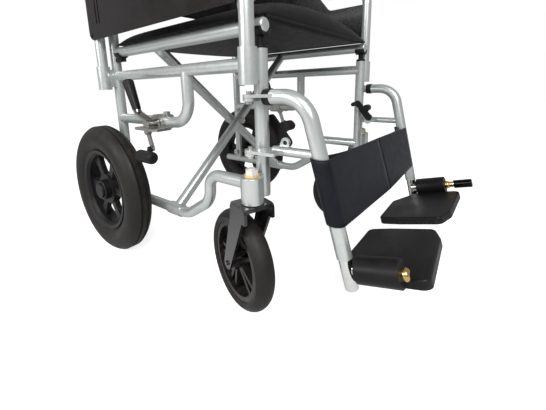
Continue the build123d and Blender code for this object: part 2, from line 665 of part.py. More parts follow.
def skirt_guard():
    """Moulded side panel outside the arm posts, with grooves and bolts."""
    inner = ARM_X + R + SEAT_GAP / 2
    plane = across(-inner - GUARD_THICK)
    corners = [(2, GUARD_BOTTOM), (455, GUARD_BOTTOM), (455, ARM_Z - 34), (ARM_STEP_Y + 22, ARM_Z - 34),
               (ARM_STEP_Y - 42, ARM_STEP_Z - 36), (2, ARM_STEP_Z - 36)]
    outline = make_face(Polyline(*corners, close=True))
    outline = fillet(outline.vertices(), 18)
    panel = slab(outline, plane, GUARD_THICK)
    panel = fillet(panel.faces().sort_by(Axis.X)[0].edges(), 1.2)
    for y in (40, 52, 400, 412):
        top = (ARM_STEP_Z - 70) if y < 100 else (ARM_Z - 75)
        groove = Pos(y, (GUARD_BOTTOM + 30 + top) / 2) * SlotOverall(top - GUARD_BOTTOM - 30, 5, 90)
        panel -= slab(groove, plane, 1.2)
    for y, z in ((9, GUARD_BOTTOM + 12), (445, GUARD_BOTTOM + 12), (9, ARM_STEP_Z - 60), (445, ARM_Z - 60)):
        screw = rod((-inner - GUARD_THICK - 2, y, z), (-inner - GUARD_THICK + 0.5, y, z), 5)
        panel += fillet(screw.faces().sort_by(Axis.X)[0].edges(), 1.6)
    return panel


# Cross brace, seat and back
def brace(first, y, seat_rail_x):
    """Brace tube from a sleeve on a lower rail up to its seat rail."""
    low = Vector(first * HALF_TRACK, y, LOWER_RAIL_Z)
    high = Vector(-first * HALF_TRACK, y, SEAT_RAIL_Z)
    half_sleeve = SLEEVE_LENGTH / 2
    sleeve_r = R + SLIP + SLEEVE_WALL
    body = rod(low, high, R)
    body += rod(low - (0, half_sleeve, 0), low + (0, half_sleeve, 0), sleeve_r)
    front = (seat_rail_x, SEAT_FRONT_Y, SEAT_RAIL_Z)
    back = (seat_rail_x, SEAT_FRONT_Y + SEAT_RAIL_LENGTH, SEAT_RAIL_Z)
    rail = rod(front, back, R)
    body += fillet(rail.faces().sort_by(Axis.Y)[0].edges(), 5)
    body -= rod(low + (high - low) * 0.06, low + (high - low) * 0.95, BORE)
    body -= rod(low - (0, half_sleeve + 1, 0), low + (0, half_sleeve + 1, 0), R + SLIP)
    body -= rod((seat_rail_x, SEAT_FRONT_Y + 30, SEAT_RAIL_Z), back, BORE)
    return body - rod((0, y - 30, PIVOT_Z), (0, y + 30, PIVOT_Z), PIN_R + PIN_FIT)


def pivot_bolt():
    """Bolt, spacer washer and nut where the braces cross."""
    front = BRACE_Y - R - 5
    back = BRACE_Y + BRACE_STEP + R + 7
    bolt = rod((0, front, PIVOT_Z), (0, back, PIVOT_Z), PIN_R)
    head = rod((0, front - 2, PIVOT_Z), (0, BRACE_Y - R - SEAT_GAP, PIVOT_Z), 8)
    nut = Pos(0, BRACE_Y + BRACE_STEP + R + SEAT_GAP, PIVOT_Z) * Rot(-90, 0, 0)
    nut = nut * extrude(RegularPolygon(7.5, 6), 6)
    return bolt + head + nut


def seat():
    """Padded seat slung between the seat rails."""
    rail = HALF_TRACK
    top = SEAT_RAIL_Z + R + SEAT_GAP
    inner = rail - R - 3
    edge = SEAT_RAIL_Z + 5
    with BuildSketch(Plane.XZ) as section:
        with BuildLine():
            Line((-rail - 8, top), (-rail - 8, top + 5))
            ThreePointArc((-rail - 8, top + 5), (0, SEAT_CROWN_Z), (rail + 8, top + 5))
            Polyline((rail + 8, top + 5), (rail + 8, top), (inner, top), (inner, edge))
            ThreePointArc((inner, edge), (0, SEAT_UNDER_Z), (-inner, edge))
            Polyline((-inner, edge), (-inner, top), (-rail - 8, top))
        make_face()
    return Pos(0, SEAT_FRONT_Y + 4, 0) * extrude(section.sketch, amount=-(SEAT_RAIL_LENGTH - 14))


def back_upholstery():
    """Back sling: a sleeve round each cane and a bowed panel between."""
    reach = HALF_TRACK - R - 2
    with BuildSketch() as section:
        with BuildLine():
            ThreePointArc((-reach, CANE_Y + 3), (0, CANE_Y + 3 + BACK_BOW), (reach, CANE_Y + 3))
            Line((reach, CANE_Y + 3), (reach, CANE_Y + 12))
            ThreePointArc((reach, CANE_Y + 12), (0, CANE_Y + 12 + BACK_BOW), (-reach, CANE_Y + 12))
            Line((-reach, CANE_Y + 12), (-reach, CANE_Y + 3))
        make_face()
    height = BACK_TOP - BACK_BOTTOM
    sling = slab(section.sketch, level(BACK_BOTTOM), height)
    for side in (-1, 1):
        base = (side * HALF_TRACK, CANE_Y, BACK_BOTTOM)
        tip = (side * HALF_TRACK, CANE_Y, BACK_TOP)
        sling += rod(base, tip, R + 3)
    for side in (-1, 1):
        base = (side * HALF_TRACK, CANE_Y, BACK_BOTTOM - 1)
        tip = (side * HALF_TRACK, CANE_Y, BACK_TOP + 1)
        sling -= rod(base, tip, R + SEAT_GAP)
    return sling


def swivelled(piece, angle):
    """Caster piece turned about its stem to its resting angle."""
    return Pos(-STEM_X, 0, 0) * Rot(0, 0, angle) * Pos(STEM_X, 0, 0) * piece


def save(name, piece):
    """Write one piece, moved so the origin is under the middle of the chair."""
    export_step(Pos(0, -MIDDLE_Y, 0) * piece, "parts/" + name + ".step")


SIDE_PIECES = {
    "front_post": front_post, "back_cane": back_cane, "side_rail": side_rail,
    "brake_rail": brake_rail, "lower_rail": lower_rail, "arm_sockets": arm_sockets,
    "seat_saddles": seat_saddles, "steel_pins": steel_pins, "push_grip": push_grip,
    "brake_bracket": brake_bracket, "brake_lever": brake_lever, "brake_grip": brake_grip,
    "brake_link": brake_link, "brake_shoe": brake_shoe, "rear_tyre": rear_tyre,
    "rear_wheel": rear_wheel, "hanger": hanger, "latch": latch, "footplate": footplate,
    "calf_strap": calf_strap, "arm_frame": arm_frame, "arm_pad": arm_pad,
    "skirt_guard": skirt_guard,
}
CASTER_PIECES = {
    "caster_fork": caster_fork, "caster_wheel": caster_wheel, "caster_tyre": caster_tyre,
}


def main():
    os.makedirs("parts", exist_ok=True)
    for name, make in SIDE_PIECES.items():
        piece = make()
        save("right_" + name, piece)
        save("left_" + name, mirror(piece, about=Plane.YZ))
    for name, make in CASTER_PIECES.items():
        piece = make()
        save("right_" + name, swivelled(piece, RIGHT_CASTER_TURN))
        save("left_" + name, mirror(swivelled(piece, -LEFT_CASTER_TURN), about=Plane.YZ))
    save("right_drop_tube", drop_tube(long_stub=False))
    save("left_drop_tube", mirror(drop_tube(long_stub=True), about=Plane.YZ))
    save("cross_brace_a", brace(-1, BRACE_Y, HALF_TRACK))
    save("cross_brace_b", brace(1, BRACE_Y + BRACE_STEP, -HALF_TRACK))
    save("cross_pivot_bolt", pivot_bolt())
    save("seat", seat())
    save("back_upholstery", back_upholstery())


main()
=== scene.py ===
# %% [markdown]
# A transport wheelchair, dressed around its construction model.
# The frame, wheels, brakes and hangers come from the construction model and get finishes here.
# What is soft is modelled here: the seat, the back, the calf strap and the arm pads.
# The seat's stitches repeat along a seam, so Geometry Nodes make them.

# %% Load the construction model
import math

import bmesh
import bpy
from mathutils import Matrix, Vector, noise


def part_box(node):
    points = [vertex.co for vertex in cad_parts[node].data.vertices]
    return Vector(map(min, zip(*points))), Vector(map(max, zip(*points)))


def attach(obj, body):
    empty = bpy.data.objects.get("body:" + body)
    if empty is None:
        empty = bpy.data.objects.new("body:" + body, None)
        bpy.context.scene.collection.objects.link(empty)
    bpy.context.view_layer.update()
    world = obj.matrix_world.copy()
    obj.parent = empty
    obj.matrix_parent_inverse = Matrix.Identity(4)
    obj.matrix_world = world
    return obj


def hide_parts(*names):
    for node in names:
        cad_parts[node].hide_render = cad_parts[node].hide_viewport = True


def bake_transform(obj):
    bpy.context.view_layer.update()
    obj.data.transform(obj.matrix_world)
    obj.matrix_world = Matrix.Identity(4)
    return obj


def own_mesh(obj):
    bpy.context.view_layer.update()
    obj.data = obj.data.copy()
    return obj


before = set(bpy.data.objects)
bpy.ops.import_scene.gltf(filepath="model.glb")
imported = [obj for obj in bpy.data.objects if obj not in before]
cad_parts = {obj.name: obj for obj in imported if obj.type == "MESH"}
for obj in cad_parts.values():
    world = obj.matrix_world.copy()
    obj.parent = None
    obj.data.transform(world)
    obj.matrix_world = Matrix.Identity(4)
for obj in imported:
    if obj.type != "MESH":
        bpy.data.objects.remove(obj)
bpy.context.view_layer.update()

# %% [markdown]
# Sizes are easiest to read in millimetres from the front posts, which is how the chair was measured.
# The construction model puts its origin under the middle of the chair, so one small function
# turns "millimetres from the front posts" into metres in the model's frame.

# %% Measure from the front posts
post_low, post_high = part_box("right_front_post")
FRONT_Y = (post_low[1] + post_high[1]) / 2
SIDES = {"right": -1, "left": 1}
TUBE_R = 11.1
RAIL_X = 211.0
CANE_Y = 434.0
ARM_X = 240.5
HANGER_TOP = Vector((222.0, -82.0, 370.0))
HANGER_FOOT = Vector((205.0, -147.0, 106.0))
FLIP_AXIS_AT = (203.0, -141.0, 130.0)


def at(x, y, z):
    """Point in metres, from millimetres right or left, behind the front posts and up."""
    return Vector((x / 1000, FRONT_Y + y / 1000, z / 1000))


print("front posts at y =", round(FRONT_Y, 4))

# %% [markdown]
# The camera stands low at the chair's front right corner, close, with a wide lens.
# Its place and turn were solved from the photograph; the shift keeps the photograph's framing.

# %% Camera
CAMERA_AT = at(-569.0, -275.8, 386.1)
VIEW_RIGHT = Vector((0.6263, -0.7789, -0.0305))
VIEW_UP = Vector((0.1742, 0.1018, 0.9794))
VIEW_BACK = Vector((-0.7598, -0.6188, 0.1994))
SENSOR_MM = 36.0
LENS_MM = 19.29
SHIFT = (0.0333, -0.1088)
camera_data = bpy.data.cameras.new("camera")
camera_data.sensor_width = SENSOR_MM
camera_data.lens = LENS_MM
camera_data.shift_x, camera_data.shift_y = SHIFT
camera_data.clip_start = 0.01
camera = bpy.data.objects.new("camera", camera_data)
bpy.context.collection.objects.link(camera)
turn = Matrix((VIEW_RIGHT, VIEW_UP, VIEW_BACK)).transposed()
camera.matrix_world = Matrix.Translation(CAMERA_AT) @ turn.to_4x4()
bpy.context.scene.camera = camera
print("camera at", [round(v, 3) for v in CAMERA_AT])

# %% [markdown]
# The camera sees a white floor and a white sky. Reflections and soft light come from a dimmer sky,
# so black stays black and the tubes keep their shading. Two area lights give the long highlights.

# %% Floor, sky and lights
FLOOR_HALF = 6.0
FLOOR_GREY = 0.7
floor_mesh = bpy.data.meshes.new("floor")
floor_mesh.from_pydata(
    [(-FLOOR_HALF, -FLOOR_HALF, 0), (FLOOR_HALF, -FLOOR_HALF, 0),
     (FLOOR_HALF, FLOOR_HALF, 0), (-FLOOR_HALF, FLOOR_HALF, 0)], [], [(0, 1, 2, 3)])
floor = bpy.data.objects.new("floor", floor_mesh)
bpy.context.collection.objects.link(floor)
floor_paint = bpy.data.materials.new("floor_paint")
floor_paint.use_nodes = True
floor_shader = floor_paint.node_tree.nodes["Principled BSDF"]
floor_shader.inputs["Base Color"].default_value = (FLOOR_GREY, FLOOR_GREY, FLOOR_GREY, 1)
floor_shader.inputs["Roughness"].default_value = 0.9
floor_shader.inputs["Emission Color"].default_value = (1.0, 1.0, 1.0, 1)
FLOOR_GLOW = 0.75
floor_ray = floor_paint.node_tree.nodes.new("ShaderNodeLightPath")
floor_glow = floor_paint.node_tree.nodes.new("ShaderNodeMapRange")
floor_paint.node_tree.links.new(floor_ray.outputs["Is Camera Ray"], floor_glow.inputs["Value"])
floor_glow.inputs["To Min"].default_value = 0.0
floor_glow.inputs["To Max"].default_value = FLOOR_GLOW
floor_paint.node_tree.links.new(floor_glow.outputs["Result"], floor_shader.inputs["Emission Strength"])
floor_mesh.materials.append(floor_paint)

SKY_SEEN = 1.0
SKY_LIGHT = 0.4
world = bpy.data.worlds.new("studio")
world.use_nodes = True
sky = world.node_tree
backdrop = sky.nodes["Background"]
backdrop.inputs["Color"].default_value = (1.0, 1.0, 1.0, 1)
ray = sky.nodes.new("ShaderNodeLightPath")
strength = sky.nodes.new("ShaderNodeMapRange")
sky.links.new(ray.outputs["Is Camera Ray"], strength.inputs["Value"])
strength.inputs["To Min"].default_value = SKY_LIGHT
strength.inputs["To Max"].default_value = SKY_SEEN
sky.links.new(strength.outputs["Result"], backdrop.inputs["Strength"])
bpy.context.scene.world = world
bpy.context.scene.view_settings.view_transform = "Standard"


def area_light(name, place, target, size, watts):
    """Square soft light that faces a point."""
    data = bpy.data.lights.new(name, "AREA")
    data.size = size
    data.energy = watts
    light = bpy.data.objects.new(name, data)
    bpy.context.collection.objects.link(light)
    light.location = place
    light.rotation_euler = (target - place).to_track_quat("-Z", "Y").to_euler()
    return light


area_light("key", at(-1500, -1300, 1900), at(0, 150, 400), 1.2, 60)
area_light("side", at(-1900, 700, 1100), at(0, 250, 300), 0.9, 22)
print("floor, sky and two lights")

# %% [markdown]
# Several finishes share the same effects, so each effect is a node group with named inputs.
# "Speckle" is the fine grain of moulded plastic and powder coat, made from two noises.
# "Edge wear" finds corners from the pointiness of the surface and lightens them.
# "Weave" is the crossed thread of coated nylon, and "Dust" is a faint settled film.

# %% Shared shader groups
def group(name, inputs, outputs):
    """Empty shader group with its sockets; returns the tree and its two ends."""
    tree = bpy.data.node_groups.new(name, "ShaderNodeTree")
    for title, kind, value in inputs:
        socket = tree.interface.new_socket(title, in_out="INPUT", socket_type=kind)
        socket.default_value = value
    for title, kind in outputs:
        tree.interface.new_socket(title, in_out="OUTPUT", socket_type=kind)
    start = tree.nodes.new("NodeGroupInput")
    end = tree.nodes.new("NodeGroupOutput")
    return tree, start, end


def math_node(tree, operation, first, second):
    """One Math node fed by sockets or numbers."""
    node = tree.nodes.new("ShaderNodeMath")
    node.operation = operation
    for socket, value in zip(node.inputs, (first, second)):
        if isinstance(value, (int, float)):
            socket.default_value = value
        else:
            tree.links.new(value, socket)
    return node.outputs[0]


def noise_node(tree, scale, detail, rough=0.5):
    """Noise on Object coordinates; scale may be a socket or a number."""
    place = tree.nodes.new("ShaderNodeTexCoord")
    node = tree.nodes.new("ShaderNodeTexNoise")
    tree.links.new(place.outputs["Object"], node.inputs["Vector"])
    if isinstance(scale, (int, float)):
        node.inputs["Scale"].default_value = scale
    else:
        tree.links.new(scale, node.inputs["Scale"])
    node.inputs["Detail"].default_value = detail
    node.inputs["Roughness"].default_value = rough
    return node.outputs["Fac"]


def ramp_node(tree, value, low, high):
    """Maps a value from low..high to 0..1."""
    node = tree.nodes.new("ShaderNodeMapRange")
    tree.links.new(value, node.inputs["Value"])
    node.inputs["From Min"].default_value = low
    node.inputs["From Max"].default_value = high
    return node.outputs["Result"]


def make_speckle():
    tree, start, end = group(
        "speckle", [("Scale", "NodeSocketFloat", 900.0), ("Patch Scale", "NodeSocketFloat", 18.0)],
        [("Grain", "NodeSocketFloat"), ("Patch", "NodeSocketFloat")])
    grain = noise_node(tree, start.outputs["Scale"], 2.0)
    patch = noise_node(tree, start.outputs["Patch Scale"], 3.0, 0.6)
    tree.links.new(grain, end.inputs["Grain"])
    tree.links.new(ramp_node(tree, patch, 0.3, 0.7), end.inputs["Patch"])
    return tree


def make_edge_wear():
    tree, start, end = group(
        "edge_wear", [("Amount", "NodeSocketFloat", 0.5)], [("Mask", "NodeSocketFloat")])
    shape = tree.nodes.new("ShaderNodeNewGeometry")
    edge = ramp_node(tree, shape.outputs["Pointiness"], 0.53, 0.62)
    broken = ramp_node(tree, noise_node(tree, 120.0, 3.0), 0.42, 0.62)
    worn = math_node(tree, "MULTIPLY", edge, broken)
    mask = math_node(tree, "MULTIPLY", worn, start.outputs["Amount"])
    tree.links.new(mask, end.inputs["Mask"])
    return tree


def make_dust():
    tree, start, end = group(
        "dust", [("Amount", "NodeSocketFloat", 0.3)], [("Mask", "NodeSocketFloat")])
    shape = tree.nodes.new("ShaderNodeNewGeometry")
    split = tree.nodes.new("ShaderNodeSeparateXYZ")
    tree.links.new(shape.outputs["Normal"], split.inputs[0])
    up = ramp_node(tree, split.outputs["Z"], 0.2, 1.0)
    film = ramp_node(tree, noise_node(tree, 35.0, 4.0, 0.65), 0.35, 0.75)
    mask = math_node(tree, "MULTIPLY", math_node(tree, "MULTIPLY", up, film), start.outputs["Amount"])
    tree.links.new(mask, end.inputs["Mask"])
    return tree


def make_weave():
    tree, start, end = group(
        "weave", [("Threads Per Metre", "NodeSocketFloat", 1400.0)],
        [("Height", "NodeSocketFloat"), ("Shade", "NodeSocketFloat")])
    place = tree.nodes.new("ShaderNodeUVMap")
    place.uv_map = "cloth"
    split = tree.nodes.new("ShaderNodeSeparateXYZ")
    tree.links.new(place.outputs["UV"], split.inputs[0])
    waves = []
    for axis in ("X", "Y"):
        turns = math_node(tree, "MULTIPLY", split.outputs[axis], start.outputs["Threads Per Metre"])
        angle = math_node(tree, "MULTIPLY", turns, math.pi)
        waves.append(math_node(tree, "ABSOLUTE", math_node(tree, "SINE", angle, 0.0), 0.0))
    height = math_node(tree, "MAXIMUM", waves[0], waves[1])
    tree.links.new(height, end.inputs["Height"])
    patch = noise_node(tree, 60.0, 3.0, 0.6)
    tree.links.new(ramp_node(tree, patch, 0.3, 0.7), end.inputs["Shade"])
    return tree


SPECKLE = make_speckle()
EDGE_WEAR = make_edge_wear()
DUST = make_dust()
WEAVE = make_weave()
print("shader groups:", SPECKLE.name, EDGE_WEAR.name, DUST.name, WEAVE.name)

# %% [markdown]
# A finish is a Principled shader with the groups feeding its colour, roughness and bump.
# Real plastic is never one flat black: it has lighter worn corners, a fine grain that breaks up
# the reflections and slow changes of roughness where hands have been.

# %% Finishes
def use_group(tree, made, **values):
    """Places a shared group in a material and sets its inputs."""
    node = tree.nodes.new("ShaderNodeGroup")
    node.node_tree = made
    for title, value in values.items():
        node.inputs[title.replace("_", " ")].default_value = value
    return node


def mix_colour(tree, mask, first, second):
    """Mixes two colours, or a socket and a colour, by a mask."""
    node = tree.nodes.new("ShaderNodeMix")
    node.data_type = "RGBA"
    tree.links.new(mask, node.inputs["Factor"])
    for socket, value in ((node.inputs["A"], first), (node.inputs["B"], second)):
        if isinstance(value, tuple):
            socket.default_value = (*value, 1.0)
        else:
            tree.links.new(value, socket)
    return node.outputs["Result"]


def bump(tree, shader, height, strength, depth):
    """Bump from a height, in metres of depth."""
    node = tree.nodes.new("ShaderNodeBump")
    node.inputs["Strength"].default_value = strength
    node.inputs["Distance"].default_value = depth
    tree.links.new(height, node.inputs["Height"])
    tree.links.new(node.outputs["Normal"], shader.inputs["Normal"])
    return node


def finish(name, colour, patch_colour, worn_colour, rough, rough_span, metallic=0.0, coat=0.0,
           coat_rough=0.1, grain=900.0, grain_depth=0.00006, wear=0.5, dust=0.15, patches=18.0,
           dust_colour=(0.35, 0.33, 0.31), specular=0.5):
    """Hard finish: grain, slow patches, worn edges and settled dust."""
    material = bpy.data.materials.new(name)
    material.use_nodes = True
    tree = material.node_tree
    shader = tree.nodes["Principled BSDF"]
    speckle = use_group(tree, SPECKLE, Scale=grain, Patch_Scale=patches)
    edges = use_group(tree, EDGE_WEAR, Amount=wear)
    film = use_group(tree, DUST, Amount=dust)
    base = mix_colour(tree, speckle.outputs["Patch"], colour, patch_colour)
    worn = mix_colour(tree, edges.outputs["Mask"], base, worn_colour)
    dusty = mix_colour(tree, film.outputs["Mask"], worn, dust_colour)
    tree.links.new(dusty, shader.inputs["Base Color"])
    spread = math_node(tree, "MULTIPLY", speckle.outputs["Patch"], rough_span)
    tree.links.new(math_node(tree, "ADD", spread, rough), shader.inputs["Roughness"])
    shader.inputs["Metallic"].default_value = metallic
    shader.inputs["Coat Weight"].default_value = coat
    shader.inputs["Coat Roughness"].default_value = coat_rough
    shader.inputs["Specular IOR Level"].default_value = specular
    bump(tree, shader, speckle.outputs["Grain"], 0.35, grain_depth)
    return material


def cloth_finish(name, colour, patch_colour, threads, rough, sheen):
    """Coated cloth: crossed threads, soft sheen and slow changes of shade."""
    material = bpy.data.materials.new(name)
    material.use_nodes = True
    tree = material.node_tree
    shader = tree.nodes["Principled BSDF"]
    weave = use_group(tree, WEAVE, Threads_Per_Metre=threads)
    film = use_group(tree, DUST, Amount=0.06)
    base = mix_colour(tree, weave.outputs["Shade"], colour, patch_colour)
    dusty = mix_colour(tree, film.outputs["Mask"], base, (0.08, 0.076, 0.076))
    tree.links.new(dusty, shader.inputs["Base Color"])
    spread = math_node(tree, "MULTIPLY", weave.outputs["Shade"], 0.12)
    tree.links.new(math_node(tree, "ADD", spread, rough), shader.inputs["Roughness"])
    shader.inputs["Specular IOR Level"].default_value = 0.14
    shader.inputs["Sheen Weight"].default_value = sheen
    shader.inputs["Sheen Roughness"].default_value = 0.4
    bump(tree, shader, weave.outputs["Height"], 0.5, 0.00012)
    return material


SILVER_PAINT = finish("silver_paint", (0.56, 0.585, 0.57), (0.5, 0.535, 0.525), (0.7, 0.71, 0.71),
                      0.26, 0.1, metallic=0.7, coat=0.3, coat_rough=0.1, grain=1600.0,
                      grain_depth=0.00002, wear=0.3, dust=0.04, dust_colour=(0.5, 0.48, 0.45))
ZINC = finish("zinc", (0.5, 0.49, 0.46), (0.38, 0.37, 0.35), (0.7, 0.69, 0.67), 0.22, 0.2,
              metallic=1.0, grain=700.0, grain_depth=0.00004, wear=0.4, dust=0.1, patches=90.0)
BLACK_NYLON = finish("black_nylon", (0.005, 0.0044, 0.0046), (0.0085, 0.0075, 0.0075),
                     (0.04, 0.036, 0.033), 0.34, 0.16, grain=1100.0, wear=0.4, dust=0.02, specular=0.2)
GLOSS_PLASTIC = finish("gloss_plastic", (0.006, 0.0046, 0.0044), (0.01, 0.008, 0.0078),
                       (0.04, 0.035, 0.032), 0.2, 0.14, coat=0.1, coat_rough=0.1, grain=500.0,
                       wear=0.35, dust=0.02, specular=0.22)
TYRE_RUBBER = finish("tyre_rubber", (0.009, 0.0078, 0.0072), (0.015, 0.0135, 0.0125),
                     (0.06, 0.054, 0.05), 0.42, 0.2, grain=500.0, grain_depth=0.00015, wear=0.45,
                     dust=0.07, patches=40.0, specular=0.22)
SOFT_RUBBER = finish("soft_rubber", (0.006, 0.006, 0.0064), (0.01, 0.0098, 0.0098),
                     (0.035, 0.034, 0.032), 0.48, 0.15, grain=900.0, wear=0.3, dust=0.03, specular=0.2)
PAD_VINYL = finish("pad_vinyl", (0.006, 0.006, 0.0066), (0.0095, 0.0095, 0.01), (0.04, 0.038, 0.037),
                   0.34, 0.14, grain=420.0, grain_depth=0.00012, wear=0.2, dust=0.05, specular=0.35)
NYLON_CLOTH = cloth_finish("nylon_cloth", (0.0035, 0.0035, 0.0044), (0.0062, 0.0062, 0.0074),
                           threads=1300.0, rough=0.46, sheen=0.015)
STRAP_CLOTH = cloth_finish("strap_cloth", (0.0055, 0.0062, 0.0095), (0.0095, 0.0105, 0.015),
                           threads=1100.0, rough=0.42, sheen=0.03)
THREAD = finish("thread", (0.03, 0.03, 0.034), (0.045, 0.045, 0.05), (0.06, 0.06, 0.06), 0.6, 0.1,
                grain=2500.0, wear=0.0, dust=0.0)


def add_bands(name, colour, axis, bands, rough=0.16, rough_span=0.12, **more):
    """Finish whose colour changes past given places along an axis, in metres from the origin."""
    darker = tuple(c * 0.85 for c in colour)
    lighter = tuple(min(1.0, c * 1.3) for c in colour)
    material = finish(name, colour, darker, lighter, rough, rough_span, **more)
    tree = material.node_tree
    shader = tree.nodes["Principled BSDF"]
    place = tree.nodes.new("ShaderNodeTexCoord")
    along = tree.nodes.new("ShaderNodeVectorMath")
    along.operation = "DOT_PRODUCT"
    tree.links.new(place.outputs["Object"], along.inputs[0])
    along.inputs[1].default_value = axis
    shade = shader.inputs["Base Color"].links[0].from_socket
    for start, end, tone in bands:
        above = math_node(tree, "GREATER_THAN", along.outputs["Value"], start)
        below = math_node(tree, "LESS_THAN", along.outputs["Value"], end)
        shade = mix_colour(tree, math_node(tree, "MULTIPLY", above, below), shade, tone)
    tree.links.new(shade, shader.inputs["Base Color"])
    return material


FLIP_TILT = math.radians(16.0)
FLIP_WAY = Vector((0.0, -math.cos(FLIP_TILT), math.sin(FLIP_TILT)))
FLIP_PLACE = at(*FLIP_AXIS_AT).dot(FLIP_WAY)
BRASS_FROM = FLIP_PLACE + 0.0098
BRASS_TO = FLIP_PLACE + 0.087
STUB_FROM = FLIP_PLACE + 0.0885
WASHER_LOW = 0.2505
WASHER_HIGH = 0.2545
NO_END = 9.0
BRASS_TONE = (0.6, 0.42, 0.17)
WASHER_TONE = (0.6, 0.45, 0.18)
NUT_TONE = (0.62, 0.61, 0.58)
CAP_TONE = (0.012, 0.012, 0.012)
SHAFT_FINISH = add_bands(
    "shaft_finish", (0.8, 0.8, 0.79), FLIP_WAY,
    [(BRASS_FROM, BRASS_TO, BRASS_TONE), (STUB_FROM, NO_END, CAP_TONE)],
    metallic=1.0, rough=0.1, rough_span=0.08, grain=1200.0, grain_depth=0.00001, wear=0.2, dust=0.03)
STEM_FINISH = add_bands(
    "stem_finish", (0.01, 0.009, 0.009), Vector((0, 0, 1)),
    [(WASHER_LOW, WASHER_HIGH, WASHER_TONE), (WASHER_HIGH, NO_END, NUT_TONE)],
    metallic=0.0, coat=0.35, rough=0.16, rough_span=0.12, grain=300.0, grain_depth=0.00004,
    wear=0.4, dust=0.03)
print("finishes:", len(bpy.data.materials) - 1)

# %% [markdown]
# The construction model's pieces keep their shapes. Each one only gets its finish here.

# %% Give the rigid pieces their finishes
FINISH_OF = {
    "front_post": SILVER_PAINT, "back_cane": SILVER_PAINT, "side_rail": SILVER_PAINT,
    "brake_rail": SILVER_PAINT, "lower_rail": SILVER_PAINT, "arm_sockets": SILVER_PAINT,
    "hanger": SILVER_PAINT, "arm_frame": SILVER_PAINT, "seat_saddles": BLACK_NYLON,
    "steel_pins": ZINC, "push_grip": SOFT_RUBBER, "brake_bracket": ZINC, "brake_lever": ZINC,
    "brake_grip": BLACK_NYLON, "brake_link": ZINC, "brake_shoe": SOFT_RUBBER,
    "rear_tyre": TYRE_RUBBER, "rear_wheel": BLACK_NYLON, "caster_fork": STEM_FINISH,
    "caster_wheel": GLOSS_PLASTIC, "caster_tyre": TYRE_RUBBER, "drop_tube": SHAFT_FINISH,
    "latch": BLACK_NYLON, "footplate": BLACK_NYLON, "skirt_guard": GLOSS_PLASTIC,
    "arm_pad": PAD_VINYL, "calf_strap": STRAP_CLOTH,
}


def paint(node, material):
    """Puts one material on a construction piece."""
    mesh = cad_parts[node].data
    mesh.materials.clear()
    mesh.materials.append(material)


for side in SIDES:
    for name, material in FINISH_OF.items():
        paint(side + "_" + name, material)
for name in ("cross_brace_a", "cross_brace_b"):
    paint(name, SILVER_PAINT)
paint("cross_pivot_bolt", ZINC)
print("painted", 2 * len(FINISH_OF) + 3, "pieces")

# %% [markdown]
# Most new pieces are a skin between two edges or a closed loft of rings. One helper makes a mesh
# object from points and faces, adds a cloth map in metres when the piece is cloth, and smooths it.

# %% Mesh helpers
def new_piece(name, points, faces, material, uvs=None, smooth=True):
    """Mesh object at the origin, its place in its points."""
    mesh = bpy.data.meshes.new(name)
    mesh.from_pydata([tuple(p) for p in points], [], faces)
    mesh.update()
    if uvs:
        layer = mesh.uv_layers.new(name="cloth")
        for loop in mesh.loops:
            layer.data[loop.index].uv = uvs[loop.vertex_index]
    for polygon in mesh.polygons:
        polygon.use_smooth = smooth
    mesh.materials.append(material)
    piece = bpy.data.objects.new(name, mesh)
    bpy.context.collection.objects.link(piece)
    return piece


def face_out(piece):
    """Turns every face of a closed piece outwards."""
    mesh = bmesh.new()
    mesh.from_mesh(piece.data)
    bmesh.ops.remove_doubles(mesh, verts=mesh.verts, dist=1e-6)
    bmesh.ops.recalc_face_normals(mesh, faces=mesh.faces)
    mesh.to_mesh(piece.data)
    mesh.free()


def flat_map(piece, scale_axes=(0, 1)):
    """Cloth map in metres, taken straight from two of the piece's own axes."""
    mesh = piece.data
    layer = mesh.uv_layers.new(name="cloth")
    for loop in mesh.loops:
        point = mesh.vertices[loop.vertex_index].co
        layer.data[loop.index].uv = (point[scale_axes[0]], point[scale_axes[1]])


def apply_modifiers(piece):
    """Turns a piece's modifiers into plain mesh."""
    seen = piece.evaluated_get(bpy.context.evaluated_depsgraph_get())
    mesh = bpy.data.meshes.new_from_object(seen)
    piece.modifiers.clear()
    old = piece.data
    piece.data = mesh
    bpy.data.meshes.remove(old)


def closed_grid(across, along, top, bottom):
    """Closed pillow from two height functions on a grid; returns points and faces."""
    points = []
    faces = []
    for layer in (top, bottom):
        for j in range(along + 1):
            for i in range(across + 1):
                points.append(layer(i / across, j / along))
    row = across + 1
    size = row * (along + 1)
    for j in range(along):
        for i in range(across):
            a = j * row + i
            faces.append((a, a + 1, a + row + 1, a + row))
            faces.append((a + size, a + row + size, a + row + 1 + size, a + 1 + size))
    edge = [i for i in range(row)]
    edge += [j * row + across for j in range(1, along + 1)]
    edge += [along * row + i for i in range(across - 1, -1, -1)]
    edge += [j * row for j in range(along - 1, 0, -1)]
    for k, a in enumerate(edge):
        b = edge[(k + 1) % len(edge)]
        faces.append((b, a, a + size, b + size))
    return points, faces


print("helpers ready")

# %% [markdown]
# Stitches are short round rods along a seam. The seam is a chain of points; Geometry Nodes turn it
# into a curve, space it evenly, and set one rod at each place, turned along the seam.

# %% Stitch tree in Geometry Nodes
def input_id(tree, title):
    """Identifier of a tree's named input."""
    for item in tree.interface.items_tree:
        if item.item_type == "SOCKET" and item.in_out == "INPUT" and item.name == title:
            return item.identifier
    raise KeyError(title)


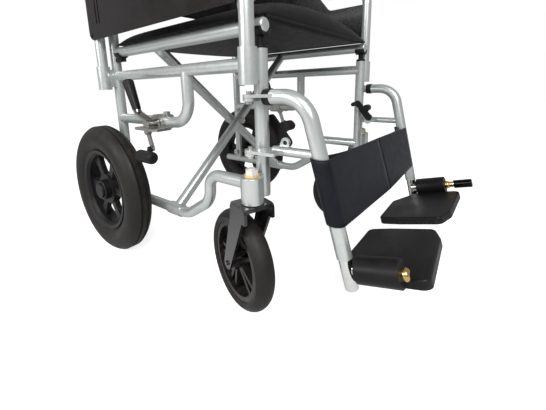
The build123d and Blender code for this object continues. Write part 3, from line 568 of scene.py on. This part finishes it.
def geometry_tree(name, inputs):
    """Geometry tree with a geometry input and output and named inputs."""
    tree = bpy.data.node_groups.new(name, "GeometryNodeTree")
    tree.interface.new_socket("Geometry", in_out="INPUT", socket_type="NodeSocketGeometry")
    for title, kind, value in inputs:
        socket = tree.interface.new_socket(title, in_out="INPUT", socket_type=kind)
        if value is not None:
            socket.default_value = value
    tree.interface.new_socket("Geometry", in_out="OUTPUT", socket_type="NodeSocketGeometry")
    return tree, tree.nodes.new("NodeGroupInput"), tree.nodes.new("NodeGroupOutput")


def make_stitch_tree():
    tree, start, end = geometry_tree("stitches", [
        ("Spacing", "NodeSocketFloat", 0.005), ("Length", "NodeSocketFloat", 0.0034),
        ("Thickness", "NodeSocketFloat", 0.0005), ("Thread", "NodeSocketMaterial", None)])
    link = tree.links.new
    curve = tree.nodes.new("GeometryNodeMeshToCurve")
    link(start.outputs["Geometry"], curve.inputs["Mesh"])
    spread = tree.nodes.new("GeometryNodeCurveToPoints")
    spread.mode = "LENGTH"
    link(curve.outputs["Curve"], spread.inputs["Curve"])
    link(start.outputs["Spacing"], spread.inputs["Length"])
    thread = tree.nodes.new("GeometryNodeMeshCylinder")
    thread.inputs["Vertices"].default_value = 6
    link(start.outputs["Thickness"], thread.inputs["Radius"])
    link(start.outputs["Length"], thread.inputs["Depth"])
    copies = tree.nodes.new("GeometryNodeInstanceOnPoints")
    link(spread.outputs["Points"], copies.inputs["Points"])
    link(thread.outputs["Mesh"], copies.inputs["Instance"])
    link(spread.outputs["Rotation"], copies.inputs["Rotation"])
    real = tree.nodes.new("GeometryNodeRealizeInstances")
    link(copies.outputs["Instances"], real.inputs["Geometry"])
    colour = tree.nodes.new("GeometryNodeSetMaterial")
    link(real.outputs["Geometry"], colour.inputs["Geometry"])
    link(start.outputs["Thread"], colour.inputs["Material"])
    link(colour.outputs["Geometry"], end.inputs["Geometry"])
    return tree


STITCHES = make_stitch_tree()


def run_tree(name, tree, points, edges, values, material_title, material):
    """Runs a tree on a chain of points and keeps the result as plain mesh."""
    mesh = bpy.data.meshes.new(name)
    mesh.from_pydata([tuple(p) for p in points], edges, [])
    piece = bpy.data.objects.new(name, mesh)
    bpy.context.collection.objects.link(piece)
    modifier = piece.modifiers.new("nodes", "NODES")
    modifier.node_group = tree
    for title, value in values.items():
        modifier[input_id(tree, title)] = value
    modifier[input_id(tree, material_title)] = material
    apply_modifiers(piece)
    return piece


def stitch_row(name, points, spacing=0.005, length=0.0034):
    """Row of stitches along a chain of points."""
    edges = [(i, i + 1) for i in range(len(points) - 1)]
    values = {"Spacing": spacing, "Length": length, "Thickness": 0.00045}
    return run_tree(name, STITCHES, points, edges, values, "Thread", THREAD)


print("stitch tree:", len(STITCHES.nodes), "nodes")

# %% [markdown]
# The seat is a padded panel slung between the two seat rails. It is a crowned pillow: the top
# rises towards the middle, the front and rear edges roll over, and the underside sags a little.
# A welt and a row of stitches run along the front edge.
# Its two long sides lie on the rails.

# %% Seat
SEAT_FRONT = -8.0
SEAT_BACK = 408.0
SEAT_HALF = 221.0
SEAT_SIDE_Z = 485.0
SEAT_EDGE = 13.0
SEAT_CROWN = 47.0
SEAT_SAG = 6.0


def seat_top(u, v):
    """Top of the seat: crowned across, rounded down at the front."""
    x = (u * 2 - 1) * SEAT_HALF
    y = SEAT_FRONT + v * (SEAT_BACK - SEAT_FRONT)
    out = abs(u * 2 - 1)
    crown = max(0.0, math.cos(out * math.pi / 2)) ** 0.7
    rounded = max(0.0, 1 - out ** 12) ** 0.5
    roll = 1 - math.exp(-max(v, 0.0) * 34)
    back_roll = 1 - math.exp(-max(1 - v, 0.0) * 30)
    rise = (SEAT_EDGE + (SEAT_CROWN - SEAT_EDGE) * crown) * (0.3 + 0.7 * roll * back_roll)
    return at(x, y, SEAT_SIDE_Z + 1.5 + rise * rounded)


def seat_bottom(u, v):
    """Underside: rests on the rails and sags between them."""
    x = (u * 2 - 1) * SEAT_HALF
    y = SEAT_FRONT + 1 + v * (SEAT_BACK - SEAT_FRONT - 2)
    inside = min(1.0, max(0.0, (SEAT_HALF - 24 - abs(x)) / 40))
    sag = SEAT_SAG * math.cos((u - 0.5) * math.pi) ** 0.5 * inside ** 0.5
    return at(x, y, SEAT_SIDE_Z - sag)


points, faces = closed_grid(44, 40, seat_top, seat_bottom)
seat = new_piece("seat_cushion", points, faces, NYLON_CLOTH)
face_out(seat)
flat_map(seat)
subdivide = seat.modifiers.new("smooth", "SUBSURF")
subdivide.levels = 1
subdivide.render_levels = 1
apply_modifiers(seat)
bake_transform(seat)
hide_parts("seat")


def welt(name, points, radius=1.7):
    """Round cord sewn along an edge."""
    curve = bpy.data.curves.new(name, "CURVE")
    curve.dimensions = "3D"
    curve.bevel_depth = radius / 1000
    curve.bevel_resolution = 3
    line = curve.splines.new("POLY")
    line.points.add(len(points) - 1)
    for item, point in zip(line.points, points):
        item.co = (*point, 1.0)
    cord = bpy.data.objects.new(name, curve)
    bpy.context.collection.objects.link(cord)
    mesh = bpy.data.meshes.new_from_object(cord)
    bpy.data.objects.remove(cord)
    bpy.data.curves.remove(curve)
    piece = bpy.data.objects.new(name, mesh)
    bpy.context.collection.objects.link(piece)
    for polygon in mesh.polygons:
        polygon.use_smooth = True
    mesh.materials.clear()
    mesh.materials.append(SOFT_RUBBER)
    return piece


WELT_HALF = 208.0
SEAM_STEPS = 60
STITCH_LIFT = Vector((0, 0, 0.0004))
seam = []
top_seam = []
for k in range(SEAM_STEPS + 1):
    x = -WELT_HALF + 2 * WELT_HALF * k / SEAM_STEPS
    seam.append(at(x, SEAT_FRONT - 1.0, SEAT_SIDE_Z + 0.5))
    top_seam.append(seat_top(0.02 + 0.96 * k / SEAM_STEPS, 0.05) + STITCH_LIFT)
front_welt = welt("seat_front_welt", seam)
front_row = stitch_row("seat_front_stitches", top_seam, spacing=0.0052)
for piece in (front_welt, front_row):
    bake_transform(piece)
print("seat", len(seat.data.polygons), "faces")

# %% [markdown]
# The back is a sling: a sleeve round each cane and a panel between them that bows to the rear.
# The panel rides on the right side frame and each sleeve on its own side frame.

# %% Back upholstery
BACK_LOW = 590.0
BACK_HIGH = 840.0
BACK_BOW = 36.0


def back_panel(front, u, v):
    low = BACK_LOW + 5 * math.sin(u * math.pi)
    high = BACK_HIGH - 10 * math.sin(u * math.pi)
    x = (u * 2 - 1) * (RAIL_X - TUBE_R * 0.2)
    bow = math.sin(u * math.pi)
    swell = 0.35 + 0.65 * math.sin(min(max(v, 0.0), 1.0) * math.pi) ** 0.4
    offset = -5.5 if front else 6.5
    y = CANE_Y + 5 + BACK_BOW * bow ** 0.9 + offset * swell * (0.3 + 0.7 * bow ** 0.5)
    y += 6.5 * (1 - bow) ** 3
    return at(x, y, low + (high - low) * v)


points, faces = closed_grid(
    60, 36, lambda u, v: back_panel(True, u, v), lambda u, v: back_panel(False, u, v))
back = new_piece("back_sling", points, faces, NYLON_CLOTH)
face_out(back)
flat_map(back, (0, 2))
subdivide = back.modifiers.new("smooth", "SUBSURF")
subdivide.levels = 1
subdivide.render_levels = 1
apply_modifiers(back)


SLEEVE_SIDES = 28


def sleeve_ring(side, height, radius):
    """Ring of a sleeve round a cane."""
    ring = []
    for step in range(SLEEVE_SIDES):
        angle = 2 * math.pi * step / SLEEVE_SIDES
        x = side * RAIL_X + radius * math.cos(angle)
        y = CANE_Y + radius * math.sin(angle)
        ring.append(at(x, y, height))
    return ring


def sleeve(name, side, low, high):
    """Cloth sleeve round a cane, with a hem at each end."""
    points = []
    faces = []
    levels = [(low, 0.4), (low + 0.5, 2.6), (low + 14, 3.0), (low + 16, 2.4), (low + 60, 3.1)]
    steps = 12
    for step in range(steps + 1):
        height = low + 60 + (high - low - 120) * step / steps
        levels.append((height, 2.6 + 0.7 * noise.noise(Vector((side * 3.0, height / 40, 0.5)))))
    levels += [(high - 60, 3.1), (high - 16, 2.4), (high - 14, 3.0), (high - 0.5, 2.6), (high, 0.4)]
    for height, thick in levels:
        points += sleeve_ring(side, height, TUBE_R + thick)
    for row in range(len(levels) - 1):
        for step in range(SLEEVE_SIDES):
            a = row * SLEEVE_SIDES + step
            b = row * SLEEVE_SIDES + (step + 1) % SLEEVE_SIDES
            faces.append((a, b, b + SLEEVE_SIDES, a + SLEEVE_SIDES))
    last = (len(levels) - 1) * SLEEVE_SIDES
    inner = len(points)
    for height in (low, high):
        points += sleeve_ring(side, height, TUBE_R + 0.3)
    outer = inner + SLEEVE_SIDES
    for step in range(SLEEVE_SIDES):
        following = (step + 1) % SLEEVE_SIDES
        faces.append((step, inner + step, inner + following, following))
        faces.append((last + step, last + following, outer + following, outer + step))
        faces.append((inner + step, outer + step, outer + following, inner + following))
    piece = new_piece(name, points, faces, NYLON_CLOTH)
    face_out(piece)
    flat_map(piece, (1, 2))
    return piece


right_sleeve = sleeve("back_sleeve_right", -1, BACK_LOW, BACK_HIGH)
left_sleeve = sleeve("back_sleeve_left", 1, BACK_LOW, BACK_HIGH)
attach(back, "right_side_frame")
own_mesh(back)
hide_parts("back_upholstery")
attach(right_sleeve, "right_side_frame")
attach(left_sleeve, "left_side_frame")
print("back", len(back.data.polygons), "faces")

# %% [markdown]
# The calf strap is a wide band looped round both hanger tubes. Each half rides on its own hanger.

# %% Calf strap
def hanger_point(side, z):
    """Middle of the raked hanger tube at a height, in millimetres."""
    share = (HANGER_TOP.z - z) / (HANGER_TOP.z - HANGER_FOOT.z)
    point = HANGER_TOP.lerp(HANGER_FOOT, share)
    return Vector((side * point.x, point.y, point.z))


STRAP_HIGH = 288.0
STRAP_LOW = 197.0
STRAP_SLOPE = 6.5
STRAP_R = TUBE_R + 2.2


def strap_section(share):
    """Where a point of the section lies: how far along the band, and how far round the tube."""
    loop = 0.34
    if 0.5 - loop / 2 <= share <= 0.5 + loop / 2:
        return 1.0, (share - 0.5 + loop / 2) / loop
    run = share if share < 0.5 else 1 - share
    return run / (0.5 - loop / 2), 0.0


def strap_half(name, side):
    """Half of the strap: front band, loop round the tube, and back band, closed."""
    rows = 16
    steps = 60
    points = []
    faces = []
    uvs = []
    for row in range(rows + 1):
        z = STRAP_LOW + (STRAP_HIGH - STRAP_LOW) * row / rows
        centre = hanger_point(side, z)
        lane = row / rows
        for step in range(steps):
            share = step / (steps - 1)
            run, turning = strap_section(share)
            ripple = noise.noise(Vector((share * 5, lane * 3, side)))
            sag = 3.0 * math.sin((lane - 0.5) * 2.6) + 1.2 * ripple
            if turning > 0:
                angle = math.radians(-90 + 180 * turning)
                x = centre.x + side * STRAP_R * math.cos(angle)
                y = centre.y + STRAP_R * math.sin(angle)
            else:
                front = share < 0.5
                x = centre.x * run
                depth = -STRAP_R if front else -STRAP_R + 2.2 + (2 * STRAP_R - 2.2) * run ** 6
                y = centre.y + depth + sag * (1 - run) * 0.8
            lean = STRAP_SLOPE * (1 + side * run)
            points.append(at(x, y, z - 4 * (1 - run) * (1 - lane) - lean))
            uvs.append((share * 0.46, (z - STRAP_LOW) / 1000))
    for row in range(rows):
        for step in range(steps - 1):
            a = row * steps + step
            faces.append((a, a + 1, a + steps + 1, a + steps))
    piece = new_piece(name, points, faces, STRAP_CLOTH, uvs=uvs)
    skin = piece.modifiers.new("thick", "SOLIDIFY")
    skin.thickness = 0.0016
    skin.offset = 0
    apply_modifiers(piece)
    return piece


for side, sign in SIDES.items():
    strap = strap_half(side + "_strap", sign)
    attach(strap, side + "_hanger")
    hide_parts(side + "_calf_strap")
    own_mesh(strap)
print("calf strap halves made")

# %% [markdown]
# A black plug closes the rear end of each hanger tube. It is turned about the tube's own axis.

# %% Hanger end caps
CAP_PROFILE = [(0.0, -13.6), (7.5, -13.8), (10.6, -14.6), (12.0, -16.4), (12.2, -21.0), (11.7, -21.8),
               (12.2, -22.6), (12.3, -27.5), (11.3, -28.2)]
CAP_STEPS = 32
for side, sign in SIDES.items():
    points = []
    faces = []
    for radius, y in CAP_PROFILE:
        for step in range(CAP_STEPS):
            angle = 2 * math.pi * step / CAP_STEPS
            x = sign * HANGER_TOP.x + radius * math.cos(angle)
            points.append(at(x, y, HANGER_TOP.z + radius * math.sin(angle)))
    for row in range(len(CAP_PROFILE) - 1):
        for step in range(CAP_STEPS):
            first = row * CAP_STEPS + step
            second = row * CAP_STEPS + (step + 1) % CAP_STEPS
            faces.append((first, second, second + CAP_STEPS, first + CAP_STEPS))
    faces.append(tuple((len(CAP_PROFILE) - 1) * CAP_STEPS + step for step in range(CAP_STEPS)))
    cap = new_piece(side + "_hanger_cap", points, faces, BLACK_NYLON)
    face_out(cap)
    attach(cap, side + "_hanger")
print("hanger caps made")

# %% [markdown]
# The arm pads are vinyl over foam: a long rounded block with a domed top.

# %% Arm pads
PAD_HALF_WIDTH = 27.0
PAD_BASE_Z = 711.6
PAD_EDGE = 9.0
PAD_DOME = 17.5
PAD_HOLLOW = 4.0


def pad_layer(side, low, high, top):
    """Height function for one face of a pad."""
    def place(u, v):
        a = u * 2 - 1
        b = v * 2 - 1
        corner = (abs(a) ** 6 + abs(b) ** 20) ** (1 / 8)
        width = PAD_HALF_WIDTH * (1 - 0.03 * max(0.0, corner - 0.9))
        x = side * ARM_X + a * width * (1 - 0.42 * max(0.0, abs(b) - 0.86) / 0.14 * abs(a) ** 3)
        y = low + (high - low) * v
        dome = (1 - abs(a) ** 3) ** 0.5 * (1 - abs(b) ** 16) ** 0.5
        hollow = 1 - (1 - abs(a) ** 4) * (1 - abs(b) ** 30)
        z = PAD_BASE_Z + (PAD_EDGE + PAD_DOME * dome if top else PAD_HOLLOW * hollow)
        return at(x, y, z)
    return place


for side, sign in SIDES.items():
    low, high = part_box(side + "_arm_pad")
    start_y = (low[1] - FRONT_Y) * 1000
    end_y = (high[1] - FRONT_Y) * 1000
    upper = pad_layer(sign, start_y, end_y, True)
    lower = pad_layer(sign, start_y, end_y, False)
    points, faces = closed_grid(20, 60, upper, lower)
    pad = new_piece(side + "_pad", points, faces, PAD_VINYL)
    face_out(pad)
    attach(pad, side + "_armrest")
    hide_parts(side + "_arm_pad")
print("arm pads made")
